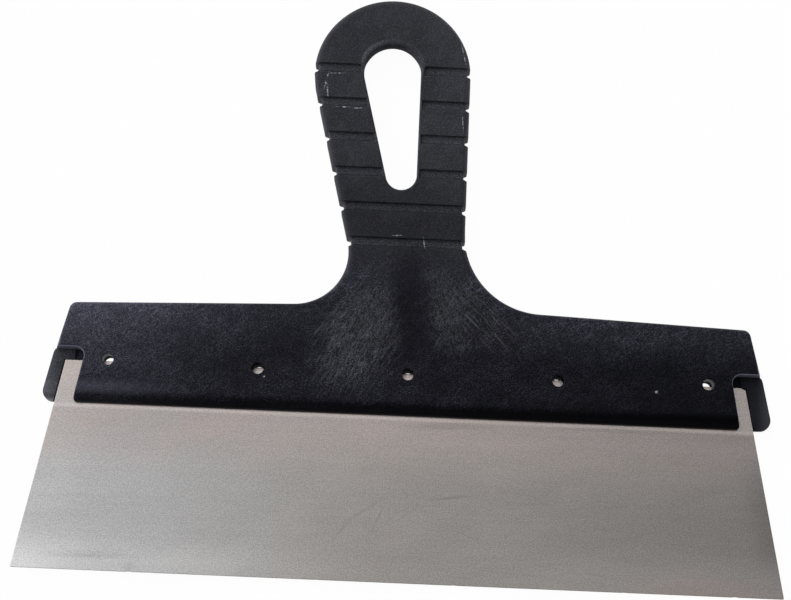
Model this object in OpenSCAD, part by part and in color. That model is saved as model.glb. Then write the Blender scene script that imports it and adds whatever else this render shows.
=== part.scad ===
// Wide putty knife for filling walls: a flared steel blade with a one-piece
// plastic handle moulded around its top edge. The handle has a cross body that
// stiffens the blade, a neck and a leaning loop grip with a finger hole.
//
// The knife lies on its back. X runs along the working edge, Y from that edge
// towards the grip, and Z up from the table. The origin is on the table, under
// the middle of the knife's box. The modules measure Y from the blade's top edge.

/* [Blade] */
// Width of the working edge
blade_w = 300; // [220:1:400]
// Height from the working edge to the top edge, which the body hides
blade_h = 82.4; // [60:0.1:120]
// Thickness of the steel sheet
blade_t = 0.7; // [0.4:0.05:1.5]
// Angle at which each side edge flares out towards the working edge
blade_flare = 10.7; // [0:0.1:15]
// Length clipped off the right top corner, which shows which way up it goes
corner_clip = 1.8; // [0.5:0.1:4]
// Diameter of the anchor windows, which the plastic fills
anchor_d = 6; // [3:0.1:8]
// Anchor windows between two neighbouring pin holes
anchors_per_bay = 2; // [1:1:3]
// Depth of the window centres below the top edge
anchor_drop = 9; // [7:0.1:12]

/* [Body] */
// Depth of the blade inside the body
seat_depth = 17; // [14:0.1:30]
// Plastic over the front of the blade
front_wall = 6; // [4.5:0.1:9]
// Plastic behind the blade
back_wall = 4.3; // [4:0.1:8]
// Sideways offset of the moulding from the middle of the blade
body_shift = 1; // [-2:0.1:2]
// Height of the shoulders above the blade's top edge, at the middle
shoulder_rise = 27; // [20:0.1:40]
// Angle at which the shoulders fall towards both ends
shoulder_fall = 2; // [0:0.1:5]
// Plastic outside each side edge of the blade
end_cover = 5.2; // [3:0.1:10]
// How much more the body's ends flare than the blade's side edges
end_splay = 0.8; // [0:0.1:3]
// Radius of the shoulder corners, in plan
shoulder_r = 3.2; // [2:0.1:8]
// Rounding of the body's upper and side edges
body_edge_r = 1.4; // [0.5:0.1:2]
// Rounding of the body's lower edge
lower_edge_r = 3.6; // [1:0.1:4]

/* [Ends] */
// Width of the blade's end that each notch leaves bare
tab_w = 6.8; // [4:0.1:12]
// Height of the notches above the blade's top edge
notch_rise = 4.4; // [2.5:0.1:8]
// Radius of the notches' inner corner
notch_r = 3.5; // [1:0.1:4]
// How far each ear stands proud of the body's side
ear_proud = 1.6; // [0.2:0.1:3]
// Distance from the top of the notch down to the top of the ear
ear_drop = 0.6; // [0.5:0.1:2]
// Radius of the ears' and the body's lower corners, in plan
ear_r = 4.2; // [4:0.1:7]
// Gap between an ear and the blade's side edge
ear_gap = 0.5; // [0.1:0.1:1]
// Width of the relief pocket over the blade's top edge
relief_w = 4; // [2:0.1:6]
// Depth of the relief pocket below the blade's front
relief_d = 1.4; // [0.8:0.1:2.5]

/* [Pin holes] */
// Holes left by the pins that hold the blade in the mould
pin_n = 5; // [3:1:7]
// Diameter of the pin holes
pin_d = 4.5; // [3:0.1:6]
// Distance from the end pin holes to the edge of the front wall
pin_inset = 9.6; // [6:0.1:20]
// Depth of the pin holes' centres below the blade's top edge
pin_drop = 1.3; // [0.5:0.1:3]
// How much higher the two end holes are than the others
end_pin_lift = 1.1; // [0:0.1:2]

/* [Grip] */
// Distance from the shoulders to the centre of the loop
grip_len = 95.3; // [80:0.1:130]
// Outer radius of the loop
loop_r = 31.7; // [26:0.1:40]
// Angle at which the grip leans to the left
grip_lean = 7; // [0:0.1:10]
// Angle at which each side of the grip widens towards the loop
grip_taper = 7; // [2:0.1:9]
// Sideways place of the loop's centre, left of the body's middle
loop_left = 11.2; // [0:0.1:20]
// Radius of the neck's right hollow
neck_right_r = 32; // [15:0.5:36]
// Radius of the neck's left hollow
neck_left_r = 21.5; // [12:0.5:30]
// Rounding of the grip's outer edges
grip_edge_r = 2.6; // [1.6:0.1:4]

/* [Finger hole] */
// Radius of the upper end of the finger hole
hole_top_r = 11.5; // [9:0.1:16]
// Radius of the lower end of the finger hole
hole_low_r = 6.2; // [4:0.1:9]
// Distance between the centres of the two ends
hole_len = 42.7; // [30:0.1:55]
// Rounding of the finger hole's rim
rim_r = 2.6; // [1:0.1:4]

/* [Grooves] */
// Distance from one grip groove to the next
groove_pitch = 14.4; // [8:0.1:20]
// Width of a groove
groove_w = 3.8; // [1:0.1:5]
// Depth of a groove
groove_d = 1.4; // [0.5:0.1:1.5]
// Height of the first groove above the loop's centre
groove_lift = 1.5; // [-3:0.1:5]
// Distance from the shoulders to the lowest place for a groove
neck_h = 24; // [18:0.1:40]
// Distance from the finger hole's wall at which the grooves stop
groove_stop = 1.5; // [0.5:0.1:2.5]

/* [Hidden] */
$fn = 64;
spill = 1;
edge_steps = 5;
corner_steps = 6;
neck_steps = 14;
loop_steps = 40;
plastic = [0.14, 0.14, 0.16];
steel = [0.66, 0.64, 0.62];

thick = back_wall + blade_t + front_wall;
blade_front = back_wall + blade_t;
end_flare = blade_flare + end_splay;
blade_top = blade_w / 2 - blade_h * tan(blade_flare);
body_half = blade_top + end_cover;
plate_half = blade_top - tab_w;
loop_y = shoulder_rise + grip_len;
loop_c = [-loop_left, loop_y];
hole_tilt = grip_lean;
hole_low_c = loop_c + hole_len * [sin(hole_tilt), -cos(hole_tilt)];
y_middle = (loop_y + loop_r - blade_h) / 2;
pin_pitch = 2 * (plate_half - pin_inset) / (pin_n - 1);
groove_top = loop_y + groove_lift;
groove_n = 1 + floor((groove_top - shoulder_rise - neck_h) / groove_pitch);

// Point at height y on a side line that flares out downwards and is half_w from
// the middle at the blade's top edge
function side_point(half_w, y, flare) = [half_w - y * tan(flare), y];

function unit(v) = v / norm(v);
function cross2(a, b) = a.x * b.y - a.y * b.x;
function turn_of(a, b) = cross2(a, b) < 0 ? -1 : 1;
function polar(r, angle) = r * [cos(angle), sin(angle)];

// Crossing of the line through p at angle a with the line through q at angle b
function crossing(p, a, q, b) =
    p + polar(cross2(q - p, polar(1, b)) / cross2(polar(1, a), polar(1, b)), a);

// An arc of an outline: centre, radius, turn (1 bulges out, -1 is hollow), first
// and last angle, steps, and the edge rounding at its first and last point.
// corner() makes the arc that rounds a corner v between the points p and n.
function corner(p, v, n, r, steps, edge0, edge1) =
    let (back = unit(p - v),
         ahead = unit(n - v),
         half = acos(back * ahead) / 2,
         centre = v + unit(back + ahead) * r / sin(half),
         turn = turn_of(v - p, n - v),
         from = v + back * r / tan(half) - centre,
         first = atan2(from.y, from.x))
    [centre, r, turn, first, first + turn * (180 - 2 * half), steps, edge0, edge1];

// Points of an outline of arcs, moved inwards by inset and by a share of each
// arc's edge rounding. Straight stretches join one arc to the next.
function arc_edge(arc, i) = arc[6] + (arc[7] - arc[6]) * i / arc[5];
function arc_points(arcs, inset, share = 0, less = 0) =
    [for (arc = arcs, i = [0:arc[5]])
        let (move = inset + share * (arc_edge(arc, i) - less))
        arc[0] + polar(arc[1] - arc[2] * move, arc[3] + (arc[4] - arc[3]) * i / arc[5])];
function arc_edges(arcs) = [for (arc = arcs, i = [0:arc[5]]) arc_edge(arc, i)];

// One ring of a slab with rounded edges. The angle runs from 0 at the side wall
// to 90 on the face. The slab is shrunk by inset all round, and grow is -1 for
// a hole whose rim opens out.
function slab_ring(arcs, inset, grow, angle, front) =
    let (flat = arc_points(arcs, inset, grow * (1 - cos(angle)), inset),
         edges = arc_edges(arcs))
    [for (i = [0:len(flat) - 1])
        let (rise = inset + (edges[i] - inset) * (1 - sin(angle)))
        [flat[i].x, flat[i].y, front ? thick - rise : rise]];

function lifted(ring, z) = [for (p = ring) [p.x, p.y, z]];

function slab_rings(arcs, inset, grow) =
    [for (front = [false, true], k = [0:edge_steps])
        slab_ring(arcs, inset, grow, 90 * (front ? k : edge_steps - k) / edge_steps, front)];

// Triangles that close a ring like the rungs of a ladder: point i is joined to
// the point as far from the ring's end, so a ring lists its right side upwards
// and then its left side downwards
function rungs(count) =
    [for (i = [0:floor((count - 1) / 2) - 1])
        let (c = count - 2 - i)
        each i + 1 < c ? [[i, i + 1, c], [i, c, c + 1]] : [[i, i + 1, c + 1]]];

// Closed skin over rings of equally many points, from the lowest ring up
module skin(rings) {
    count = len(rings[0]);
    last = len(rings) - 1;
    sides = [for (k = [0:last - 1], i = [0:count - 1])
        let (j = (i + 1) % count,
             a = k * count + i,
             b = a + count,
             c = (k + 1) * count + j,
             d = k * count + j)
        each [[a, b, c], [a, c, d]]];
    bottom = rungs(count);
    top = [for (t = bottom) [for (i = [2, 1, 0]) last * count + t[i]]];
    polyhedron([for (ring = rings) each ring], concat(bottom, top, sides));
}

// Outline of the handle, with x counted from the middle of the body
right_angle = 90 + grip_lean - grip_taper;
left_angle = 90 + grip_lean + grip_taper;
shoulder = [0, shoulder_rise];
low_right = side_point(body_half, -seat_depth, end_flare);
low_left = [-low_right.x, low_right.y];
top_right = crossing([body_half, 0], 90 + end_flare, shoulder, -shoulder_fall);
top_left = [-top_right.x, top_right.y];
loop_right = loop_c + polar(loop_r, right_angle - 90);
loop_left_end = loop_c + polar(loop_r, left_angle + 90);
neck_right = crossing(loop_right, right_angle, shoulder, -shoulder_fall);
neck_left = crossing(loop_left_end, left_angle, shoulder, shoulder_fall);
loop_arc = [loop_c, loop_r, 1, right_angle - 90, left_angle + 90, loop_steps, grip_edge_r, grip_edge_r];

outline = [
    corner(low_left, low_right, top_right, ear_r, corner_steps, lower_edge_r, lower_edge_r),
    corner(low_right, top_right, neck_right, shoulder_r, corner_steps, body_edge_r, body_edge_r),
    corner(top_right, neck_right, loop_right, neck_right_r, neck_steps, body_edge_r, grip_edge_r),
    loop_arc,
    corner(loop_left_end, neck_left, top_left, neck_left_r, neck_steps, grip_edge_r, body_edge_r),
    corner(neck_left, top_left, low_left, shoulder_r, corner_steps, body_edge_r, body_edge_r),
    corner(top_left, low_left, low_right, ear_r, corner_steps, lower_edge_r, lower_edge_r)
];

// Outline of the finger hole: two round ends, with straight sides between them
hole_taper = asin((hole_top_r - hole_low_r) / hole_len);
hole_first = hole_tilt - hole_taper;
hole_last = 180 + hole_tilt + hole_taper;
hole_outline = [
    [loop_c, hole_top_r, 1, hole_first, hole_last, loop_steps, rim_r, rim_r],
    [hole_low_c, hole_low_r, 1, hole_last, 360 + hole_first, neck_steps, rim_r, rim_r]
];

function pin_x(i) = (i - (pin_n - 1) / 2) * pin_pitch;
function is_end_pin(i) = i == 0 || i == pin_n - 1;

module at_both_ends() {
    children();
    mirror([1, 0]) children();
}

module anchor_plan() {
    for (bay = [0:pin_n - 2], k = [1:anchors_per_bay])
        translate([body_shift + pin_x(bay) + k * pin_pitch / (anchors_per_bay + 1), -anchor_drop])
            circle(d = anchor_d);
}

// Blade in plan, widened by gap at both side edges
module blade_plan(gap = 0) {
    low = [blade_w / 2 + gap, -blade_h];
    top = [blade_top + gap, 0];
    polygon([
        [-low.x, low.y],
        low,
        side_point(top.x, -corner_clip / 2, blade_flare),
        [top.x - corner_clip, 0],
        [-top.x, 0]
    ]);
}

module blade() {
    color(steel)
        translate([0, -y_middle, back_wall])
            linear_extrude(blade_t)
                difference() {
                    blade_plan();
                    anchor_plan();
                }
}

// Space that the blade takes up in the moulding: plastic runs through its windows
module blade_seat() {
    translate([0, 0, back_wall])
        linear_extrude(blade_t)
            difference() {
                blade_plan(ear_gap);
                anchor_plan();
            }
}

module ear_plan() {
    top = notch_rise - ear_drop;
    ear_half = body_half + ear_proud;
    foot = side_point(ear_half, -seat_depth, end_flare);
    inner = [plate_half, -seat_depth];
    head = side_point(ear_half, top, end_flare);
    round_foot = corner(inner, foot, head, ear_r, corner_steps, 0, 0);
    polygon(concat([inner], arc_points([round_foot], 0), [head, [inner.x, top]]));
}

module notch_plan() {
    foot = side_point(plate_half, -seat_depth - spill, blade_flare);
    inner = side_point(plate_half, notch_rise, blade_flare);
    outer_x = side_point(body_half + ear_proud + spill, foot.y, end_flare).x;
    outer = [outer_x, notch_rise];
    round_inner = corner(outer, inner, foot, notch_r, corner_steps, 0, 0);
    polygon(concat([foot, [outer_x, foot.y], outer], arc_points([round_inner], 0)));
}

// Notches that bare the blade's ends, each with a deeper pocket beside the front wall
module end_notches() {
    translate([0, 0, blade_front])
        linear_extrude(front_wall + spill)
            at_both_ends() notch_plan();
    translate([0, 0, blade_front - relief_d])
        linear_extrude(relief_d + spill)
            at_both_ends() intersection() {
                notch_plan();
                square([plate_half + relief_w, notch_rise]);
            }
}

module pin_holes() {
    for (i = [0:pin_n - 1])
        translate([pin_x(i), -pin_drop + (is_end_pin(i) ? end_pin_lift : 0), -spill])
            cylinder(d = pin_d, h = thick + 2 * spill);
}

module finger_hole() {
    rings = slab_rings(hole_outline, 0, -1);
    foot = lifted(rings[0], -spill);
    head = lifted(rings[len(rings) - 1], thick + spill);
    skin(concat([foot], rings, [head]));
}

// Grooves run round the grip down to a shrunken copy of it, and stop at the
// finger hole's rim
module grooves() {
    reach = 2 * loop_r;
    difference() {
        for (k = [0:groove_n - 1])
            translate([loop_c.x - reach, groove_top - k * groove_pitch - groove_w / 2, -spill])
                cube([2 * reach, groove_w, thick + 2 * spill]);
        skin(slab_rings(outline, groove_d, 1));
        linear_extrude(thick)
            polygon(arc_points(hole_outline, -groove_stop));
    }
}

module handle() {
    color(plastic)
        translate([0, -y_middle, 0])
            difference() {
                translate([body_shift, 0, 0])
                    difference() {
                        union() {
                            skin(slab_rings(outline, 0, 1));
                            translate([0, 0, body_edge_r])
                                linear_extrude(blade_front - body_edge_r)
                                    at_both_ends() ear_plan();
                        }
                        grooves();
                        finger_hole();
                        pin_holes();
                        end_notches();
                    }
                blade_seat();
            }
}

blade();
handle();
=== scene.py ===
# %% [markdown]
# # A wide putty knife
#
# The knife is two pieces: a flared sheet of satin steel and one black plastic moulding that grips the
# sheet's top edge. The measured solids come first, as a fixed frame that nothing here moves. The
# lesson then makes a finer blade and a finer handle in their places, gives both a finish, and sets up
# the table, the light and the camera of the photograph.

from functools import partial, reduce

import bmesh
import bpy
import numpy as np
from mathutils import Matrix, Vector
from mathutils.geometry import delaunay_2d_cdt


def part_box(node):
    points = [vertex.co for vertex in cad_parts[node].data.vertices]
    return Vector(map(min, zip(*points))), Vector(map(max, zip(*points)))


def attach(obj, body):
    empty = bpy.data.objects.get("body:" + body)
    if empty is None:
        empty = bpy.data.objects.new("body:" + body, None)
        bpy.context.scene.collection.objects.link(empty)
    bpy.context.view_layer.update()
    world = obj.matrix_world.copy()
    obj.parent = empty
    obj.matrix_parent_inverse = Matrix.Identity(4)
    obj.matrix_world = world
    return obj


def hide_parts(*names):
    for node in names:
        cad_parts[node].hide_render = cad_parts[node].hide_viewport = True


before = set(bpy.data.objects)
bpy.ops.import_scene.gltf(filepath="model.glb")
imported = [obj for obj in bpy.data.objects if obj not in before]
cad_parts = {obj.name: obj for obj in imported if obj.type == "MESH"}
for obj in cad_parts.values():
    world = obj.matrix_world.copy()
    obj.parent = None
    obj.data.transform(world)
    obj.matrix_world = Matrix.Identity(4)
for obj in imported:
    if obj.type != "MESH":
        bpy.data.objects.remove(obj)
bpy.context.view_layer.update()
print("frame nodes:", sorted(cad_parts))

# %% [markdown]
# ## Drawing in plan
#
# Both pieces are flat things, so most of their shape is an outline. A maker draws such an outline from
# straight lines and tangent arcs. Three small functions do the same: one turns a heading into a
# direction, one finds where two lines cross, and one rounds a corner. Sizes are in millimetres, with y
# counted from the blade's top edge, and become metres only when a mesh is made.

# %% Lines, corners and arcs
MM = 0.001


def heading(degrees):
    """Unit vector of a heading: (cos, sin)."""
    angle = np.radians(degrees)
    return np.stack([np.cos(angle), np.sin(angle)], -1)


def crossing(p, a, q, b):
    """Point where the line from p at heading a meets the line from q at heading b."""
    u, v, gap = heading(a), heading(b), q - p
    return p + u * (gap[0] * v[1] - gap[1] * v[0]) / (u[0] * v[1] - u[1] * v[0])


def rounded_corner(before, at, after, radius):
    """Arc that rounds a corner. Its centre lies on the bisector, radius / sin(half the angle) from the
    corner. Returns centre, radius, first and last heading, and 1 for a bulge or -1 for a hollow."""
    back = (before - at) / np.linalg.norm(before - at)
    ahead = (after - at) / np.linalg.norm(after - at)
    half = np.arccos(back @ ahead) / 2
    bisector = (back + ahead) / np.linalg.norm(back + ahead)
    centre = at + bisector * radius / np.sin(half)
    start = at + back * radius / np.tan(half) - centre
    first = np.degrees(np.arctan2(start[1], start[0]))
    turn = np.sign(ahead[1] * -back[0] + ahead[0] * back[1])
    return centre, radius, first, first + turn * (180 - 2 * np.degrees(half)), turn


def arc_points(arc, steps):
    """Points along an arc, and the direction from each into the material."""
    centre, radius, first, last, turn = arc
    out = heading(np.linspace(first, last, steps + 1))
    return centre + radius * out, -turn * out


def mirrored(points):
    """The same run on the other side of the middle line, in reverse order."""
    return points[::-1] * np.array([-1, 1] + [1] * (points.shape[-1] - 2))


# %% [markdown]
# ## The outline of the handle
#
# The body is a bar that flares a little towards the blade. The grip stands on it, leans to the left and
# widens into a round loop, and two hollows of different radius lead from the bar into the grip. The
# outline could be one long list of points, but then no size could be read off it. Here the blade's
# size, the height of the seam and the thickness are read off the frame, and each line and arc is worked
# out from them and from the sizes that a drawing of the handle would give.

# %% Sizes and key points of the outline
blade_box = np.round(np.array(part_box("blade")) / MM, 2)
handle_box = np.round(np.array(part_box("handle")) / MM, 2)
BLADE_W, BLADE_H, BLADE_T = blade_box[1] - blade_box[0]
SEAM, THICK = blade_box[1, 2], handle_box[1, 2]
Y_MIDDLE = -blade_box[1, 1]
BODY_SHIFT = 1.0
BLADE_FLARE, END_FLARE, EAR_FLARE = 10.7, 13.6, 11.8
END_COVER, EAR_COVER, TAB_W = 5.1, 6.5, 6.8
BLADE_TOP = BLADE_W / 2 - BLADE_H * np.tan(np.radians(BLADE_FLARE))
BODY_HALF, EAR_HALF, PLATE_HALF = BLADE_TOP + END_COVER, BLADE_TOP + EAR_COVER, BLADE_TOP - TAB_W
LOW_Y, SHOULDER_Y, SHOULDER_FALL = -17.0, 27.0, 2.0
LOOP_C, LOOP_R, LEFT_LEAN = np.array([-11.2, 122.3]), 31.67, 14.0
SHOULDER_R, FOOT_R, NECK_RIGHT_R, NECK_LEFT_R = 3.2, 4.2, 32.0, 21.5
FLIP = np.array([-1, 1])
print("blade", BLADE_W.round(2), BLADE_H.round(2), BLADE_T.round(2), "seam at", SEAM, "of", THICK, "mm")


def body_side(y):
    """x of the body's right end at height y: a straight line that flares out downwards."""
    return BODY_HALF - y * np.tan(np.radians(END_FLARE))


def plate_side(y):
    """x of the front wall's right end at height y, parallel to the blade's side."""
    return PLATE_HALF - y * np.tan(np.radians(BLADE_FLARE))


# %% Corners and arcs of the outline
shoulder = np.array([0, SHOULDER_Y])
low_right = np.array([body_side(LOW_Y), LOW_Y])
top_right = crossing(np.array([BODY_HALF, 0]), 90 + END_FLARE, shoulder, -SHOULDER_FALL)
loop_right = LOOP_C + LOOP_R * heading(0)
loop_left = LOOP_C + LOOP_R * heading(180 + LEFT_LEAN)
neck_right = crossing(loop_right, 90, shoulder, -SHOULDER_FALL)
neck_left = crossing(loop_left, 90 + LEFT_LEAN, shoulder, SHOULDER_FALL)
shoulder_arc = rounded_corner(low_right, top_right, neck_right, SHOULDER_R)
right_hollow = rounded_corner(top_right, neck_right, loop_right, NECK_RIGHT_R)
left_hollow = rounded_corner(loop_left, neck_left, top_right * FLIP, NECK_LEFT_R)
foot_arc = rounded_corner(low_right * FLIP, low_right, top_right, FOOT_R)
print("corners: shoulder", top_right.round(2), "neck", neck_right.round(2), neck_left.round(2))

# %% [markdown]
# ## Grooves
#
# Shallow grooves run round the grip. The mould cuts them with a steep upper wall and a sloping lower
# flank. A Boolean cut would give knife-sharp edges, so the depth is written as a function of y alone: a
# table of heights and depths, read by straight interpolation. Every row of points on the grip sits at a
# height of that table, so each wall and each small rounding has its own row.

# %% Depth of the grooves
GROOVE_D, GROOVE_W, GROOVE_PITCH = 1.4, 3.8, 14.4
GROOVE_TOP, GROOVE_N = LOOP_C[1] + 1.5, 6
ROWS_FROM, ROWS_TO = 46.0, 129.0
FIRST_LAND, LAST_LAND = 48.0, 127.5
flank = np.array(
    [[-0.5, 0], [-0.14, 0], [0, 0.04], [0.1, 0.14], [0.74, 0.86], [0.86, 0.97], [1.0, 1], [1.4, 1]]
)
wall = np.array([[-0.5, 1], [-0.16, 1], [-0.07, 0.96], [0, 0.5], [0.05, 0.08], [0.13, 0], [0.5, 0]])
groove_mid = GROOVE_TOP - GROOVE_PITCH * np.arange(GROOVE_N)[::-1, None]
lower_y = groove_mid - GROOVE_W / 2 + flank[:, 0]
upper_y = groove_mid + GROOVE_W / 2 + wall[:, 0]
groove_y = np.concatenate([lower_y, upper_y], 1).ravel()
groove_depth = GROOVE_D * np.tile(np.concatenate([flank[:, 1], wall[:, 1]]), GROOVE_N)


def groove(y):
    """Depth of the surface below the smooth grip at height y."""
    return np.interp(y, groove_y, groove_depth)


land_y = (groove_mid[:-1, 0] + groove_mid[1:, 0]) / 2
row_y = np.unique(np.concatenate([groove_y, land_y, [ROWS_FROM, FIRST_LAND, LAST_LAND, ROWS_TO]]))
print(GROOVE_N, "grooves on", len(row_y), "rows")

# %% [markdown]
# ## The upper edge
#
# From the end of one shoulder to the other, the handle's edge is a quarter round, a wall and another
# quarter round. That is a profile carried along a path: stations along the outline, each with a point,
# a direction into the material and a radius. In a groove the whole profile moves inwards by the depth,
# which also makes the small notches in the grip's sides. At the two ends the wall leans: it is widest
# at the seam, so that both halves of the mould let go of it.

# %% Profile of an edge and sides of the grip
EDGE_R, GRIP_R = 1.4, 2.6
END_R = 0.6
LEVEL = 0.4
NOTCH_Y = 4.4
DRAFT = 0.8
quarter = np.linspace(0, np.pi / 2, 9)
RUN, DROP = 1 - np.cos(quarter), 1 - np.sin(quarter)
small = np.linspace(0, np.pi / 2, 5)
END_RUN = np.append(END_R * (1 - np.cos(small)), END_R + LEVEL)
END_DROP = np.append(END_R * (1 - np.sin(small)), 0)


def grip_right(y):
    """x of the grip's right side at height y (hollow, straight side, loop), and how far x moves for a
    millimetre of true distance into the material."""
    centre, radius = right_hollow[:2]
    hollow = np.sqrt(np.maximum(radius**2 - (y - centre[1]) ** 2, 0))
    loop = np.sqrt(np.maximum(LOOP_R**2 - (y - LOOP_C[1]) ** 2, 0))
    high = y > LOOP_C[1]
    x = np.where(high, LOOP_C[0] + loop, LOOP_C[0] + LOOP_R)
    x = np.where(y < right_tangent, centre[0] - hollow, x)
    lean = np.where(high, loop / LOOP_R, 1.0)
    return x, -1 / np.where(y < right_tangent, hollow / radius, lean)


def grip_left(y):
    """The same for the left side, whose straight part leans."""
    centre, radius = left_hollow[:2]
    hollow = np.sqrt(np.maximum(radius**2 - (y - centre[1]) ** 2, 0))
    loop = np.sqrt(np.maximum(LOOP_R**2 - (y - LOOP_C[1]) ** 2, 0))
    high = y > loop_left[1]
    straight = loop_left[0] - (y - loop_left[1]) * np.tan(np.radians(LEFT_LEAN))
    x = np.where(high, LOOP_C[0] - loop, straight)
    x = np.where(y < left_tangent, centre[0] + hollow, x)
    lean = np.where(high, loop / LOOP_R, np.cos(np.radians(LEFT_LEAN)))
    return x, 1 / np.where(y < left_tangent, hollow / radius, lean)


right_tangent = right_hollow[0][1]
left_tangent = (left_hollow[0] + left_hollow[1] * heading(left_hollow[2]))[1]
print("hollows meet the grip's sides at y", round(right_tangent, 2), round(left_tangent, 2))


# %% Stations along the upper edge
def band(points, inward, offset, z):
    """Profile carried along a path: each station's point, moved inwards by its row of offsets, at its
    row of heights."""
    xy = points[:, None] + inward[:, None] * offset[..., None]
    return np.concatenate([xy, np.broadcast_to(z, offset.shape)[..., None]], -1)


def sideways(y, x, pull):
    """Stations of a side: points (x, y) whose way into the material is level, pull per millimetre."""
    pull = np.broadcast_to(pull, y.shape)
    return np.stack([x, y], -1), np.stack([pull, 0 * pull], -1)


ARC_STEPS, RIGHT_STEPS, LEFT_STEPS, LOOP_STEPS = 8, 24, 20, 56
end_pull = -1 / np.cos(np.radians(END_FLARE))
arc_p, arc_in = arc_points(shoulder_arc, ARC_STEPS)
end_y = np.concatenate([NOTCH_Y + END_RUN, np.linspace(NOTCH_Y + END_RUN[-1], arc_p[0, 1], 4)[1:-1]])
end_p, end_in = sideways(end_y, body_side(end_y), end_pull)
right_p, right_in = np.concatenate([end_p, arc_p]), np.concatenate([end_in, arc_in])

centre, radius, first, last, turn = right_hollow
row_angle = -180 + np.degrees(np.arcsin((centre[1] - ROWS_FROM) / radius))
hollow_out = heading(np.linspace(first, row_angle, RIGHT_STEPS + 1)[:-1])
rh_p, rh_in = centre + radius * hollow_out, hollow_out
centre, radius, first, last, turn = left_hollow
row_angle = np.degrees(np.arcsin((ROWS_FROM - centre[1]) / radius))
hollow_out = heading(np.linspace(row_angle, last, LEFT_STEPS + 1)[1:])
lh_p, lh_in = centre + radius * hollow_out, hollow_out

rr_p, rr_in = sideways(row_y, *grip_right(row_y))
lr_p, lr_in = sideways(row_y[::-1], *grip_left(row_y[::-1]))
loop_from = np.degrees(np.arcsin((ROWS_TO - LOOP_C[1]) / LOOP_R))
loop_out = heading(np.linspace(loop_from, 180 - loop_from, LOOP_STEPS + 1)[1:-1])
lp_p, lp_in = LOOP_C + LOOP_R * loop_out, -loop_out

upper_p = np.concatenate([right_p, rh_p, rr_p, lp_p, lr_p, lh_p, mirrored(right_p)])
upper_in = np.concatenate([right_in, rh_in, rr_in, lp_in, lr_in, lh_in, mirrored(right_in)])
print("upper edge:", len(upper_p), "stations")

# %% Upper edge, front and back
body_r = np.full(len(right_p), EDGE_R)
upper_r = np.concatenate(
    [
        body_r,
        np.linspace(EDGE_R, GRIP_R, len(rh_p)),
        np.full(2 * len(row_y) + len(lp_p), GRIP_R),
        np.linspace(GRIP_R, EDGE_R, len(lh_p)),
        body_r,
    ]
)
upper_g = groove(upper_p[:, 1])
upper_d = np.zeros(len(upper_p))
upper_d[: len(END_DROP)] = END_DROP
upper_d[-len(END_DROP) :] = END_DROP[::-1]

end_lean = np.append(np.full(len(end_y), DRAFT), np.linspace(DRAFT, 0, len(right_p) - len(end_y)))
upper_lean = np.concatenate([end_lean, np.zeros(len(upper_p) - 2 * len(end_lean)), end_lean[::-1]])

reach = (upper_r - upper_g)[:, None]
upper_offset = np.concatenate(
    [(upper_g - upper_lean)[:, None], upper_g[:, None] + reach * RUN, upper_r[:, None] + LEVEL], 1
)
seam_column, flat_column = np.full_like(reach, SEAM), np.zeros_like(reach)
sunk = np.concatenate([reach * DROP, flat_column], 1) + upper_g[:, None]
front_z = np.concatenate([seam_column, THICK - upper_d[:, None] - sunk], 1)
upper_front = band(upper_p, upper_in, upper_offset, front_z)
upper_back = band(upper_p, upper_in, upper_offset, np.concatenate([seam_column, sunk], 1))
print("upper edge:", upper_front.shape[1], "rings in front and as many behind")

# %% [markdown]
# ## The lower edge and the bare ends
#
# Along the blade the front wall rolls over in a wide quarter ellipse. At both ends it is cut back, so
# the blade's corners lie bare. Where the roll meets the cut, two roundings cross: one drop depends on
# the distance to the lower edge and the other on the distance to the cut, and the height is the
# thickness less both. A point in that corner is also pulled onto a quarter circle: the square of
# distances is scaled by its larger side over its diagonal, which turns a square into a quarter disc.

# %% Lower edge of the front wall
ROLL_W, ROLL_H, NOTCH_R = 5.2, 4.7, 3.5
LOW_STEPS, TINY = 40, 1e-9
low_d = np.append(ROLL_W * RUN, ROLL_W + LEVEL)[:, None]
low_drop = np.append(ROLL_H * DROP, 0)[:, None]
CORNER_R = END_RUN[-1]
plate_pull = -1 / np.cos(np.radians(BLADE_FLARE))

near_d = CORNER_R - np.minimum(low_d, CORNER_R)
near_c = CORNER_R - np.minimum(END_RUN, CORNER_R)[None]
squeeze = np.maximum(near_d, near_c) / np.maximum(np.hypot(near_d, near_c), TINY)
corner_d = low_d + near_d * (1 - squeeze)
corner_c = END_RUN + near_c * (1 - squeeze)
corner_y = LOW_Y + corner_d
corner_x = plate_side(corner_y) + corner_c * plate_pull
right_low = np.stack([corner_x, corner_y, THICK - low_drop - END_DROP], -1)
share = np.linspace(1, -1, LOW_STEPS + 1)[1:-1]
middle_x = right_low[:, -1:, 0] * share
middle_y = np.broadcast_to(LOW_Y + low_d, middle_x.shape)
middle_z = np.broadcast_to(THICK - low_drop, middle_x.shape)
middle_low = np.stack([middle_x, middle_y, middle_z], -1)
low_front = np.concatenate([right_low, middle_low, right_low[:, ::-1] * np.array([-1, 1, 1])], 1)
print("lower edge:", low_front.shape[:2])

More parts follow.
